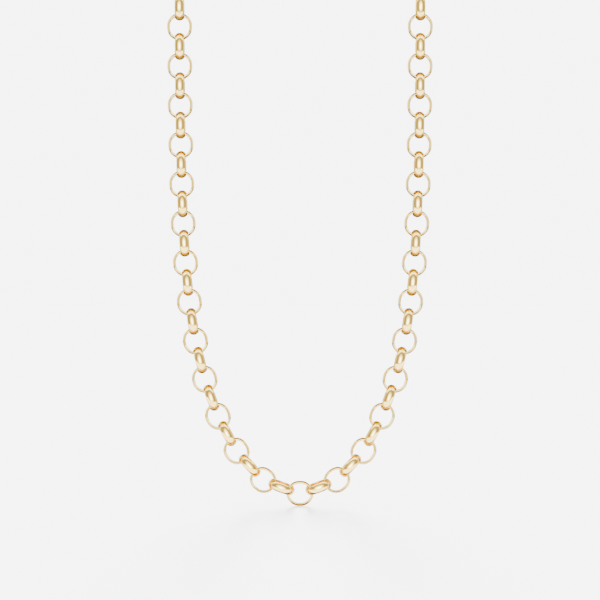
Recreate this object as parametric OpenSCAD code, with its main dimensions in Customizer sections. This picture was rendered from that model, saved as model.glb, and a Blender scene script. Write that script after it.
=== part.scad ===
// Rolo chain necklace, fastened and hanging in its own plane.
// X runs across the loop, Y from front to back, Z up. The origin is at the middle of
// the clasp's under side, where the loop hangs on whatever carries it.

/* [Loop] */
// Length of the fastened loop, along the middle of its links and its clasp
necklace_l = 450; // [400:5:600]
// Radius of the curve that the chain takes at its lowest link
curve_r = 16.6; // [14:0.2:40]
// Length of chain from the lowest link after which its sides hang straight
side_s = 76; // [60:1:110]

/* [Links] */
// Outer width of a link
link_w = 7.7; // [7:0.1:9]
// Straight stretch between the two round ends of a link
link_straight = 0.66; // [0.1:0.02:4]
// Width of the half-round wire that a link is bent from
wire_w = 2.8; // [2:0.05:3.2]
// Thickness of the wire at its middle
wire_t = 0.85; // [0.7:0.05:1.1]
// Thickness of the wire at its two edges, before they are bevelled. Its outer face is
// domed by the rest, and its inner face is flat across.
edge_t = 0.18; // [0.16:0.02:0.4]
// Width of the bevel along each edge of the wire's inner face
bevel_w = 0.3; // [0.1:0.05:0.5]
// Depth of that bevel
bevel_t = 0.12; // [0.04:0.02:0.14]
// Clear space that each link keeps from the next
link_gap = 0.15; // [0.12:0.01:0.3]

/* [Clasp] */
// Overall length of the clasp, over its two eyes
clasp_l = 22; // [20:0.5:30]
// Radius of the clasp's barrel
barrel_r = 2.6; // [2:0.1:3.5]
// Bevel round each end of the barrel
barrel_bevel = 0.6; // [0.2:0.1:1]
// Radius of the hole in each of the clasp's eyes
eye_hole_r = 2.4; // [2.2:0.1:3]
// Wall of each eye
eye_wall = 1.1; // [0.9:0.05:1.5]

/* [Hidden] */
$fn = 48;
gold = "#D9B26A";

// Drop of a circle's edge at half a chord from its middle
function sag(r, half) = r - sqrt(r * r - half * half);
// Radius of an arc that rises by rise over a chord of twice half
function arc_r(half, rise) = (half * half + rise * rise) / (2 * rise);

// Link: a ring with two round ends whose centres are end_x from its middle
hole_r = link_w / 2 - wire_t;
end_x = link_straight / 2;
link_inner = hole_r + end_x;

// Clearance that a wire needs across a curve of radius r, at its edges and inside its bevels
function seat(r) = max(sag(r, wire_w / 2) - bevel_t, sag(r, wire_w / 2 - bevel_w));
// Space between the middles of two wires that cross, one of them in a hole of radius r
function seat_gap(r) = link_gap + seat(r) + seat(hole_r);
// Distance from the centre of a hole of radius r to the middle of a link held in it
function arm(r) = r - seat_gap(r) + link_inner;
link_arm = arm(hole_r);
pitch = end_x + link_arm;

// Clasp: a barrel between two eyes, each of which holds the last link on its side
eye_x = clasp_l / 2 - eye_hole_r - eye_wall;
barrel_end = eye_x - eye_hole_r - eye_wall / 2;
clasp_reach = eye_x + arm(eye_hole_r);

// Links are numbered from 0 at the bottom. Even ones face the front and odd ones
// stand edge-on, and the last one on each side is odd.
last = 2 * round(((necklace_l / 2 - clasp_reach) / pitch - 1) / 2) + 1;
chain_s = last * pitch;

// Slope of the chain, in degrees, at length s from the lowest link: a hanging curve
// that turns into straight sides, then a round turn of radius r to the clasp. The higher
// the power, the more sudden the change from curve to straight.
side_power = 4;
function hang_angle(s) = atan(s / curve_r * (1 + pow(s / side_s, side_power)));
function turn_start(r) = chain_s - r * PI / 2;
function slope(s, r) = s < turn_start(r)
    ? hang_angle(s)
    : 90 + (s - turn_start(r)) / r * 180 / PI;
function along(s, r) = [cos(slope(s, r)), 0, sin(slope(s, r))];

// From the middle of link i to the next: an edge-on link turns about the round end
// of the face-on link that holds it
function step(i, r) =
    let (here = along(i * pitch, r), next = along((i + 1) * pitch, r))
    i % 2 == 0 ? end_x * here + link_arm * next : link_arm * here + end_x * next;
function centres(r) = [
    for (i = 0, c = [0, 0, 0]; i <= last; c = c + step(i, r), i = i + 1) c
];

// The turn's radius brings the last link to the clasp. Each pass takes off what is left.
function closer(r) = r + centres(r)[last].x - clasp_reach;
top_r = closer(closer(closer(closer(clasp_reach))));
places = centres(top_r);
top_z = places[last].z;
lift = [0, 0, barrel_r - top_z];

// Section of a wire of thickness t, its width along Y and its outer face towards +X
module wire_section(t) {
    dome_r = arc_r(wire_w / 2, t - edge_t);
    flat_w = wire_w - 2 * bevel_w;
    intersection() {
        translate([t / 2 - dome_r, 0]) circle(dome_r);
        polygon([
            [t / 2, wire_w / 2], [bevel_t - t / 2, wire_w / 2], [-t / 2, flat_w / 2],
            [-t / 2, -flat_w / 2], [bevel_t - t / 2, -wire_w / 2], [t / 2, -wire_w / 2]
        ]);
    }
}

// A link lies in the XY plane, its length along X
module link() {
    for (side = [0, 180]) rotate(side) {
        translate([end_x, 0, 0]) rotate(-90)
            rotate_extrude(angle = 180) translate([hole_r + wire_t / 2, 0]) wire_section(wire_t);
        translate([-end_x, hole_r + wire_t / 2, 0])
            rotate([90, 0, 90]) linear_extrude(link_straight) wire_section(wire_t);
    }
}

// Link i on the right half of the loop
module placed_link(i) {
    translate(places[i] + lift)
        rotate([0, -slope(i * pitch, top_r), 0])
            rotate([i % 2 == 0 ? 90 : 0, 0, 0]) link();
}

module chain_right() {
    color(gold) for (i = [0 : last]) placed_link(i);
}

module chain_left() {
    color(gold) rotate(180) for (i = [1 : last]) placed_link(i);
}

// Half of the clasp's barrel, along Z from its middle
module half_barrel() {
    cylinder(h = barrel_end - barrel_bevel, r = barrel_r);
    translate([0, 0, barrel_end - barrel_bevel])
        cylinder(h = barrel_bevel, r1 = barrel_r, r2 = barrel_r - barrel_bevel);
}

// An eye of the clasp, as wide as a link's wire and domed like it
module eye() {
    rotate_extrude() translate([eye_hole_r + eye_wall / 2, 0]) wire_section(eye_wall);
}

module clasp() {
    color(gold) translate([0, 0, barrel_r]) for (side = [-1, 1]) {
        rotate([0, 90 * side, 0]) half_barrel();
        translate([side * eye_x, 0, 0]) rotate([90, 0, 0]) eye();
    }
}

chain_left();
chain_right();
clasp();
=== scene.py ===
import math

import bmesh
import bpy
from mathutils import Matrix, Vector


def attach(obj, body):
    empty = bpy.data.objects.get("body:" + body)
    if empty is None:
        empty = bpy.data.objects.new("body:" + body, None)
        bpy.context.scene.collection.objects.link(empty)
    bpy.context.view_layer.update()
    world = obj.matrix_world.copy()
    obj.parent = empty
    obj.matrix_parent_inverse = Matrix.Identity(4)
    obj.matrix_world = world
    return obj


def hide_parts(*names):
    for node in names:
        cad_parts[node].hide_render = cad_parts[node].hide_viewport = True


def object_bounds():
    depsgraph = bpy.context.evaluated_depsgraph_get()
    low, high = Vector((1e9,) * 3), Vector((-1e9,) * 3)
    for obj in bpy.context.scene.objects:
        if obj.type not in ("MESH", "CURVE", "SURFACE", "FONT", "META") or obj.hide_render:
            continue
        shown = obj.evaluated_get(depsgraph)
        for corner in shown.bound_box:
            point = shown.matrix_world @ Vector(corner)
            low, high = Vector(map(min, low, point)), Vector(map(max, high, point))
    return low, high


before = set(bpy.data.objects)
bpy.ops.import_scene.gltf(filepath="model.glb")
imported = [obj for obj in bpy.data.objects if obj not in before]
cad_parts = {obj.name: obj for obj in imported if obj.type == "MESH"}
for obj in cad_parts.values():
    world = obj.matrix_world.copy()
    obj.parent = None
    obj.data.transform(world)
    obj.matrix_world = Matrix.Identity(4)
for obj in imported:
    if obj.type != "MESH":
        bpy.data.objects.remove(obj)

cad_lo, cad_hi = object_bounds()

MM = 0.001

# Sizes of the chain in millimetres, as in the part's source
NECKLACE_L = 450
CURVE_R = 16.6
SIDE_S = 76
SIDE_POWER = 4
LINK_W = 7.7
LINK_STRAIGHT = 0.66
WIRE_W = 2.8
WIRE_T = 0.85
BEVEL_W = 0.3
BEVEL_T = 0.12
LINK_GAP = 0.15
CLASP_L = 22
BARREL_R = 2.6
BARREL_BEVEL = 0.6
EYE_HOLE_R = 2.4
EYE_WALL = 1.1

# A link is a ring with two round ends, whose centres are END_X from its middle
HOLE_R = LINK_W / 2 - WIRE_T
END_X = LINK_STRAIGHT / 2
LINK_INNER = HOLE_R + END_X


def sag(r, half):
    """Drop of a circle's edge at half a chord from its middle."""
    return r - math.sqrt(r * r - half * half)


def arc_r(half, rise):
    """Radius of an arc that rises by rise over a chord of twice half."""
    return (half * half + rise * rise) / (2 * rise)


def seat(r):
    """Clearance that a wire needs across a curve of radius r."""
    return max(sag(r, WIRE_W / 2) - BEVEL_T, sag(r, WIRE_W / 2 - BEVEL_W))


def arm(r):
    """From the centre of a hole of radius r to the middle of a link held in it."""
    return r - LINK_GAP - seat(r) - seat(HOLE_R) + LINK_INNER


LINK_ARM = arm(HOLE_R)
PITCH = END_X + LINK_ARM
EYE_X = CLASP_L / 2 - EYE_HOLE_R - EYE_WALL
BARREL_END = EYE_X - EYE_HOLE_R - EYE_WALL / 2
CLASP_REACH = EYE_X + arm(EYE_HOLE_R)
LAST = 2 * round(((NECKLACE_L / 2 - CLASP_REACH) / PITCH - 1) / 2) + 1
CHAIN_S = LAST * PITCH


def slope(s, top_r):
    """Slope of the chain, in radians, at length s from its lowest link."""
    turn = CHAIN_S - top_r * math.pi / 2
    if s < turn:
        return math.atan(s / CURVE_R * (1 + (s / SIDE_S) ** SIDE_POWER))
    return math.pi / 2 + (s - turn) / top_r


def along(i, top_r):
    """Direction of the chain at link i of the right half, counted from the lowest one."""
    a = slope(i * PITCH, top_r)
    return Vector((math.cos(a), 0, math.sin(a)))


def centres(top_r):
    """Middles of the links of the right half, from the lowest one."""
    points = [Vector((0, 0, 0))]
    for i in range(LAST):
        here, there = (END_X, LINK_ARM) if i % 2 == 0 else (LINK_ARM, END_X)
        points.append(points[-1] + here * along(i, top_r) + there * along(i + 1, top_r))
    return points


# The turn at the top has the radius that brings the last link to the clasp
TOP_R = CLASP_REACH
for _ in range(4):
    TOP_R += centres(TOP_R)[LAST].x - CLASP_REACH
PLACES = centres(TOP_R)
LIFT = Vector((0, 0, BARREL_R - PLACES[LAST].z))


# Modelling helpers, with their tolerances in millimetres

ROUND_STEPS = 64
ON_IT = 0.01  # a vertex this close to a place counts as being there
EXACT = 0.0001  # a vertex this close to a cut counts as lying on it
SEAM = 0.0005  # two vertices this close are made one


def begin():
    """Object mode, with nothing selected."""
    if bpy.context.mode != "OBJECT":
        bpy.ops.object.mode_set(mode="OBJECT")
    bpy.ops.object.select_all(action="DESELECT")


def activate(*things):
    """Object mode, with these objects selected and the first of them active."""
    begin()
    for thing in things:
        thing.select_set(True)
    bpy.context.view_layer.objects.active = things[0]


def edit(thing):
    """Edit mode on one object, with all of it selected."""
    activate(thing)
    bpy.ops.object.mode_set(mode="EDIT")
    bpy.ops.mesh.select_mode(type="VERT")
    bpy.ops.mesh.select_all(action="SELECT")


def pick(thing, test):
    """Selects the vertices whose place passes test, in edit mode."""
    bpy.ops.mesh.select_all(action="DESELECT")
    mesh = bmesh.from_edit_mesh(thing.data)
    for v in mesh.verts:
        v.select = test(v.co)
    mesh.select_flush(True)
    bmesh.update_edit_mesh(thing.data)


def settle(thing, name):
    """Places the object's turn and place in its mesh and names it."""
    activate(thing)
    bpy.ops.object.transform_apply(location=True, rotation=True, scale=True)
    thing.name = name
    thing.data.name = name
    return thing


def join(things, name):
    """Makes one object of several."""
    activate(*things)
    bpy.ops.object.join()
    return settle(bpy.context.view_layer.objects.active, name)


def tidy_shell(thing):
    """Closes seams and turns every face outwards."""
    edit(thing)
    bpy.ops.mesh.remove_doubles(threshold=SEAM * MM)
    bpy.ops.mesh.normals_make_consistent(inside=False)
    begin()


def smooth(thing, degrees):
    """Shades it smooth, but for the edges where it turns by more than this."""
    activate(thing)
    bpy.ops.object.shade_smooth_by_angle(angle=math.radians(degrees))


# Wire and links. The wire's edges are thinner and rounder than the solids' by under 0.1 mm.
NOSE_T = 0.15  # thickness at the wire's edges, before they are bevelled inside
SOFT_W = 0.22  # width of that bevel
SOFT_T = 0.1  # its depth
LIP_ROUND = 0.02  # rounding of the lip that is left
FLAT_ROUND = 0.04  # rounding where the bevel meets the flat inner face


def wire_ring(hole_r, wall, name):
    """Half-round wire bent into a closed ring round Z, its inner face flat across."""
    half = WIRE_W / 2
    dome_r = arc_r(half, wall - NOSE_T)
    begin()
    bpy.ops.mesh.primitive_circle_add(
        vertices=ROUND_STEPS, radius=dome_r * MM,
        location=((hole_r + wall - dome_r) * MM, 0, 0), rotation=(math.pi / 2, 0, 0))
    ring = settle(bpy.context.object, name)
    edit(ring)
    # What is left of the circle past the line through the wire's two outer edges
    bpy.ops.mesh.bisect(
        plane_co=((hole_r + NOSE_T) * MM, 0, 0), plane_no=(1, 0, 0), clear_inner=True,
        threshold=EXACT * MM)

    def at_edge(co):
        return co.x < (hole_r + NOSE_T + ON_IT) * MM and abs(co.z) > (half - ON_IT) * MM

    # The wire's two edges, the bevels inside them and the flat inner face
    pick(ring, at_edge)
    bpy.ops.mesh.extrude_region_move(
        TRANSFORM_OT_translate={"value": ((SOFT_T - NOSE_T) * MM, 0, 0)})
    bpy.ops.mesh.extrude_region_move(TRANSFORM_OT_translate={"value": (-SOFT_T * MM, 0, 0)})
    bpy.ops.transform.resize(value=(1, 1, 1 - SOFT_W / half), center_override=(0, 0, 0))
    bpy.ops.mesh.edge_face_add()
    bpy.ops.mesh.bevel(offset=FLAT_ROUND * MM, segments=2, affect="VERTICES")
    pick(ring, at_edge)
    bpy.ops.mesh.bevel(offset=LIP_ROUND * MM, segments=3, affect="VERTICES")
    bpy.ops.mesh.select_all(action="SELECT")
    bpy.ops.mesh.spin(
        steps=ROUND_STEPS, angle=2 * math.pi, center=(0, 0, 0), axis=(0, 0, 1))
    # Half a step round, so that a link's middle falls between two steps
    bpy.ops.mesh.select_all(action="SELECT")
    bpy.ops.transform.rotate(
        value=math.pi / ROUND_STEPS, orient_axis="Z", center_override=(0, 0, 0))
    tidy_shell(ring)
    return ring


def mark(thing, name, test):
    """Stores 1 in the named attribute where a vertex's place passes test, and 0 elsewhere."""
    marks = thing.data.attributes.new(name, "FLOAT", "POINT")
    for v in thing.data.vertices:
        marks.data[v.index].value = 1.0 if test(v.co) else 0.0


SOLDER_HALF = 0.45  # half the length of wire that the solder covers
INNER_SKIN = 0.03  # how far from the hole a vertex is still on the inner face


def model_link():
    """One link, lying in the XY plane with its length along X."""
    link = wire_ring(HOLE_R, WIRE_T, "link")
    edit(link)
    for side in (1, -1):
        pick(link, lambda co: side * co.x > 0)
        bpy.ops.transform.translate(value=(side * END_X * MM, 0, 0))
    begin()
    # The joint where the wire's ends were soldered, across the middle of one long side
    mark(link, "solder", lambda co: co.y > 0 and abs(co.x) < SOLDER_HALF * MM)
    # The wire's flat inner face, inside the hole, where a deeper orange is painted on as
    # painted gold-on-gold reflection and shade
    mark(link, "inner", lambda co: math.hypot(
        max(abs(co.x) - END_X * MM, 0), co.y) < (HOLE_R + INNER_SKIN) * MM)
    smooth(link, 35)
    return link


# Degrees that an edge-on link rolls about the chain's line, its front down, by its number
ROLL = {1: 3}


def lay_links(link, numbers, mirrored, name):
    """Copies the link to its places on one half of the loop. Even ones face the front and
    odd ones stand edge-on."""
    copies = []
    for i in numbers:
        place = Matrix.Translation((PLACES[i] + LIFT) * MM)
        turn = Matrix.Rotation(-slope(i * PITCH, TOP_R), 4, "Y")
        roll = 90 if i % 2 == 0 else ROLL.get(i, 0)
        face = Matrix.Rotation(math.radians(roll), 4, "X")
        copy = link.copy()
        copy.data = link.data.copy()
        copy.data.transform(place @ turn @ face)
        if mirrored:
            copy.data.transform(Matrix.Diagonal((-1, 1, 1, 1)))
            copy.data.flip_normals()
        bpy.context.collection.objects.link(copy)
        copies.append(copy)
    return join(copies, name)


link = model_link()
links_right = lay_links(link, range(0, LAST + 1), False, "links_right")
links_left = lay_links(link, range(1, LAST + 1), True, "links_left")
bpy.data.objects.remove(link)


# Clasp: a turned barrel with a parting line at its middle and two grooves near each end.
# Some of the places where it is cut round are pushed in, each by its depth.
CUTS = (0.0, 0.12, 2.85, 3.0, 3.15, 3.3, 3.45)
DEPTHS = {0.0: 0.12, 3.0: 0.1, 3.3: 0.1}


def model_clasp():
    """The clasp's barrel, made one with an eye at each end."""
    begin()
    bpy.ops.mesh.primitive_cylinder_add(
        vertices=ROUND_STEPS, radius=BARREL_R * MM, depth=2 * BARREL_END * MM,
        rotation=(0, math.pi / 2, 0))
    barrel = settle(bpy.context.object, "barrel")
    edit(barrel)
    for x in sorted({side * cut for side in (1, -1) for cut in CUTS}):
        bpy.ops.mesh.select_all(action="SELECT")
        bpy.ops.mesh.bisect(
            plane_co=(x * MM, 0, 0), plane_no=(1, 0, 0), threshold=EXACT * MM)
    for x, depth in DEPTHS.items():
        pick(barrel, lambda co: abs(abs(co.x) - x * MM) < ON_IT * MM)
        factor = 1 - depth / BARREL_R
        bpy.ops.transform.resize(value=(1, factor, factor), center_override=(0, 0, 0))
    pick(barrel, lambda co: abs(co.x) > (BARREL_END - ON_IT) * MM)
    bpy.ops.mesh.bevel(offset=BARREL_BEVEL * MM, segments=5, affect="EDGES")
    begin()
    eyes = []
    for side in (1, -1):
        eye = wire_ring(EYE_HOLE_R, EYE_WALL, "eye")
        edit(eye)
        bpy.ops.transform.rotate(
            value=math.pi / 2, orient_axis="X", center_override=(0, 0, 0))
        bpy.ops.transform.translate(value=(side * EYE_X * MM, 0, 0))
        begin()
        eyes.append(eye)
    for eye in eyes:
        activate(barrel)
        union = barrel.modifiers.new("union", "BOOLEAN")
        union.operation = "UNION"
        union.object = eye
        bpy.ops.object.modifier_apply(modifier="union")
        bpy.data.objects.remove(eye)
    edit(barrel)
    bpy.ops.transform.translate(value=(0, 0, BARREL_R * MM))
    tidy_shell(barrel)
    smooth(barrel, 25)
    return settle(barrel, "clasp_barrel")


clasp = model_clasp()

for piece, cad_node in (
        (links_left, "chain_left"), (links_right, "chain_right"), (clasp, "clasp")):
    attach(piece, "root")
    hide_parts(cad_node)


# Materials

def colour(hex_code):
    """sRGB hex to linear RGBA."""
    parts = [int(hex_code[k:k + 2], 16) / 255 for k in (1, 3, 5)]
    return [p / 12.92 if p <= 0.04045 else ((p + 0.055) / 1.055) ** 2.4 for p in parts] + [1.0]


def add_node(tree, kind, inputs=None, **settings):
    """Adds a node with its settings, and fills inputs with values or links."""
    made = tree.nodes.new(kind)
    for name, value in settings.items():
        setattr(made, name, value)
    for name, value in (inputs or {}).items():
        if isinstance(value, bpy.types.NodeSocket):
            tree.links.new(value, made.inputs[name])
        else:
            made.inputs[name].default_value = value
    return made


PATCH = 6.25  # width of the plate's paler patches
RIPPLE = 0.4  # width of the unevenness that buffing leaves
RIPPLE_HEIGHT = 0.004
SOLDER_ROUGHNESS = 0.06  # how much rougher the soldered joint is


def polished_gold(name, is_chain):
    """Gold plate over brass, buffed to a mirror: it shows its surroundings in warm cream
    where they are pale and in deep orange where gold faces gold. The chain's links have a
    deeper orange painted on their inner faces as painted reflection and shade, and a soldered
    joint each."""
    material = bpy.data.materials.new(name)
    material.use_nodes = True
    tree = material.node_tree
    tree.nodes.clear()
    place = add_node(tree, "ShaderNodeTexCoord").outputs["Object"]
    # The plate is a little paler in patches
    patches = add_node(
        tree, "ShaderNodeTexNoise",
        {"Vector": place, "Scale": 1 / (PATCH * MM), "Detail": 2.0})
    tone = add_node(
        tree, "ShaderNodeMix",
        {"Factor": patches.outputs["Fac"], "A": colour("#FFE598"), "B": colour("#FFE9A3")},
        data_type="RGBA")
    # Buffing leaves a faint unevenness, drawn coarser than it is so that it shows
    buffing = add_node(
        tree, "ShaderNodeTexNoise",
        {"Vector": place, "Scale": 1 / (RIPPLE * MM), "Detail": 3.0})
    gloss = add_node(
        tree, "ShaderNodeMapRange",
        {"Value": buffing.outputs["Fac"], "From Min": 0.3, "From Max": 0.7,
         "To Min": 0.07, "To Max": 0.12})
    roughness = gloss.outputs["Result"]
    base = tone.outputs["Result"]
    if is_chain:
        # Painted reflection and shade: the inner faces are painted a deeper orange, like gold
        # lit by gold inside the hole
        inside = add_node(tree, "ShaderNodeAttribute", attribute_name="inner")
        base = add_node(
            tree, "ShaderNodeMix",
            {"Factor": inside.outputs["Fac"], "A": base, "B": colour("#F8CC7C")},
            data_type="RGBA").outputs["Result"]
        # Solder is paler than the plate and doesn't buff up as bright
        joint = add_node(tree, "ShaderNodeAttribute", attribute_name="solder")
        base = add_node(
            tree, "ShaderNodeMix",
            {"Factor": joint.outputs["Fac"], "A": base, "B": colour("#F4DFB0")},
            data_type="RGBA").outputs["Result"]
        roughness = add_node(
            tree, "ShaderNodeMath",
            {0: joint.outputs["Fac"], 1: SOLDER_ROUGHNESS, 2: roughness},
            operation="MULTIPLY_ADD").outputs["Value"]
    relief = add_node(
        tree, "ShaderNodeBump",
        {"Height": buffing.outputs["Fac"], "Strength": 0.15,
         "Distance": RIPPLE_HEIGHT * MM})
    shader = add_node(
        tree, "ShaderNodeBsdfPrincipled",
        {"Base Color": base, "Metallic": 1.0, "Roughness": roughness,
         "Normal": relief.outputs["Normal"]})
    add_node(tree, "ShaderNodeOutputMaterial", {"Surface": shader.outputs["BSDF"]})
    return material


def dress(thing, material):
    """Gives the object one material."""
    thing.data.materials.clear()
    thing.data.materials.append(material)


chain_gold = polished_gold("gold_plate_polished", True)
clasp_gold = polished_gold("gold_plate_polished_turned", False)
dress(links_left, chain_gold)
dress(links_right, chain_gold)
dress(clasp, clasp_gold)
for cad_node in ("chain_left", "chain_right", "clasp"):
    dress(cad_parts[cad_node], clasp_gold)


# Floor: pale studio paper, just clear of the lowest link

FLOOR_Z = cad_lo.z - 0.05 * MM
FLOOR_SIZE = 60  # metres

begin()
bpy.ops.mesh.primitive_plane_add(size=FLOOR_SIZE, location=(0, 0, FLOOR_Z))
floor = settle(bpy.context.object, "floor")
# Uncoated paper is matt and nearly white: it takes the shadow and shows no reflection
paper = bpy.data.materials.new("pale_studio_paper")
paper.use_nodes = True
paper.node_tree.nodes.clear()
sheet = add_node(paper.node_tree, "ShaderNodeBsdfDiffuse", {"Color": colour("#E7E7E7")})
add_node(paper.node_tree, "ShaderNodeOutputMaterial", {"Surface": sheet.outputs["BSDF"]})
dress(floor, paper)
floor.visible_glossy = False


# Light. The gold reflects a room that is brightest in front and dims towards its sides and
# back. The rest of the scene gets an even light, and the camera sees a plain background.

BACKGROUND = 0.93
EVEN_LIGHT = 0.46
FRONT = 1.25
SIDES = 0.15
BACK = 0.39
BACK_STEEP = 0.07  # high and low behind
GLOW = 0.4  # added straight in front

world = bpy.data.worlds.new("studio")
bpy.context.scene.world = world
world.use_nodes = True
sky = world.node_tree
sky.nodes.clear()
towards = add_node(sky, "ShaderNodeTexCoord").outputs["Generated"]
axes = add_node(sky, "ShaderNodeSeparateXYZ", {"Vector": towards})


def ramp(value, start, end, low, high, shape="SMOOTHSTEP"):
    """Goes from low to high while value goes from start to end."""
    return add_node(
        sky, "ShaderNodeMapRange",
        {"Value": value, "From Min": start, "From Max": end, "To Min": low, "To Max": high},
        interpolation_type=shape).outputs["Result"]


def maths(operation, a, b):
    """One sum on a and b. Operations on one number leave b out of it."""
    return add_node(sky, "ShaderNodeMath", {0: a, 1: b}, operation=operation).outputs["Value"]


def lobe(direction, near, far):
    """1 within near degrees of direction, fading to 0 at far degrees."""
    facing = add_node(
        sky, "ShaderNodeVectorMath", {0: towards, 1: Vector(direction).normalized()},
        operation="DOT_PRODUCT").outputs["Value"]
    return ramp(facing, math.cos(math.radians(far)), math.cos(math.radians(near)), 0.0, 1.0)


def blend(factor, a, b):
    """Colour a where factor is 0 and b where it is 1."""
    return add_node(
        sky, "ShaderNodeMix", {"Factor": factor, "A": a, "B": b},
        data_type="RGBA").outputs["Result"]


# In front, the light dims with the distance from the middle of an upright oval
across = maths("DIVIDE", axes.outputs["X"], 0.75)
up = maths("DIVIDE", axes.outputs["Z"], 0.92)
squares = maths("ADD", maths("MULTIPLY", across, across), maths("MULTIPLY", up, up))
out = maths("SQRT", squares, 0.0)
front = ramp(out, 0.12, 0.94, FRONT, SIDES, "LINEAR")
front = maths("ADD", front, maths("MULTIPLY", lobe((0, -1, 0), 2, 16), GLOW))
# Behind, it dims upwards and downwards, and less so towards the sides
aside = maths("ABSOLUTE", axes.outputs["X"], 0.0)
rise = maths("ABSOLUTE", axes.outputs["Z"], 0.0)
steep = maths("SUBTRACT", rise, maths("MULTIPLY", aside, 0.6))
behind = ramp(steep, 0.15, 0.5, BACK, BACK_STEEP)
room = ramp(axes.outputs["Y"], -0.2, 0.15, front, behind)

# The bright part is cool daylight, and the dim part is warm, most of all high and low behind
back_tint = blend(ramp(steep, 0.15, 0.5, 0.0, 1.0), colour("#FFF6D2"), colour("#FFBE50"))
dim = blend(ramp(axes.outputs["Y"], -0.25, 0.2, 0.0, 1.0), colour("#FFEFCB"), back_tint)
tint = blend(ramp(room, 0.4, 1.0, 0.0, 1.0), dim, colour("#F6FBFF"))

WHITE = colour("#FFFFFF")
reflected = add_node(sky, "ShaderNodeBackground", {"Color": tint, "Strength": room})
lighting = add_node(
    sky, "ShaderNodeBackground", {"Color": WHITE, "Strength": EVEN_LIGHT})
seen = add_node(
    sky, "ShaderNodeBackground", {"Color": WHITE, "Strength": BACKGROUND})
ray = add_node(sky, "ShaderNodeLightPath")
mirror = add_node(
    sky, "ShaderNodeMixShader",
    {0: ray.outputs["Is Glossy Ray"], 1: lighting.outputs[0], 2: reflected.outputs[0]})
both = add_node(
    sky, "ShaderNodeMixShader",
    {0: ray.outputs["Is Camera Ray"], 1: mirror.outputs[0], 2: seen.outputs[0]})
add_node(sky, "ShaderNodeOutputWorld", {"Surface": both.outputs[0]})


# Soft lights low behind the chain, which lay its shadow forwards and stay out of the gold's
# reflections. Each has its height and its spread in degrees, and its share of the floor's
# light.
LAMPS = (("low_light", 4, 5, 0.22), ("middle_light", 9, 7, 0.3), ("high_light", 18, 12, 0.2))

for name, height, spread, share in LAMPS:
    lamp = bpy.data.lights.new(name, "SUN")
    lamp.energy = share * math.pi / math.sin(math.radians(height))
    lamp.angle = math.radians(spread)
    shining = bpy.data.objects.new(name, lamp)
    shining.rotation_euler = (math.radians(height - 90), 0, 0)
    shining.visible_glossy = False
    bpy.context.scene.collection.objects.link(shining)


# Cards that only the gold reflects: one above, one below the floor with a dark strip along
# its front edge, a narrow one right under the chain, and a dark one behind that

VIEW_Z = (PLACES[0] + LIFT).z + 59.5  # height of the camera, over the lowest link's middle
HIGH_Z = VIEW_Z + 700
UNDER_Z = FLOOR_Z / MM - 1
LOW_Z = FLOOR_Z / MM - 53


def card(name, wide, start, end, z, hex_code, strength):
    """A level card, as far as wide to each side and from start to end along Y."""
    begin()
    bpy.ops.mesh.primitive_plane_add(size=MM, location=(0, (start + end) / 2 * MM, z * MM))
    sheet = bpy.context.object
    edit(sheet)
    bpy.ops.transform.resize(value=(2 * wide, end - start, 1))
    settle(sheet, name)
    glow = bpy.data.materials.new(name)
    glow.use_nodes = True
    glow.node_tree.nodes.clear()
    light = add_node(
        glow.node_tree, "ShaderNodeEmission", {"Color": colour(hex_code), "Strength": strength})
    add_node(glow.node_tree, "ShaderNodeOutputMaterial", {"Surface": light.outputs[0]})
    glow.cycles.emission_sampling = "NONE"
    dress(sheet, glow)
    for kind in ("camera", "diffuse", "transmission", "volume_scatter", "shadow"):
        setattr(sheet, "visible_" + kind, False)


card("card_above", 900, -250, 140, HIGH_Z, "#FFF6E0", 0.76)
card("card_below", 400, -203, -10, LOW_Z, "#FFF8EC", 0.78)
card("card_near", 300, 1, 18, UNDER_Z, "#FFF6E4", 0.5)
card("strip_below", 600, -230, -203, LOW_Z, "#FFF3DA", 0.12)
card("card_behind", 600, 105, 1500, UNDER_Z, "#FFFFFF", 0.07)


# Camera: level, in front of the middle of what the photograph shows

SCALE = 3.25  # pixels to the millimetre at the chain
DISTANCE = 910
PICTURE = 600  # pixels across the photograph
SENSOR = 36

lens = bpy.data.cameras.new("camera")
camera = bpy.data.objects.new("camera", lens)
bpy.context.scene.collection.objects.link(camera)
lens.sensor_width = SENSOR
lens.lens = SENSOR * DISTANCE * SCALE / PICTURE
lens.clip_start, lens.clip_end = 0.05, 60
camera.location = (0, -DISTANCE * MM, VIEW_Z * MM)
camera.rotation_euler = (math.pi / 2, 0, 0)
bpy.context.scene.camera = camera

view = bpy.context.scene.view_settings
view.view_transform = "AgX"
view.look = "AgX - Medium High Contrast"
view.exposure = 2.0
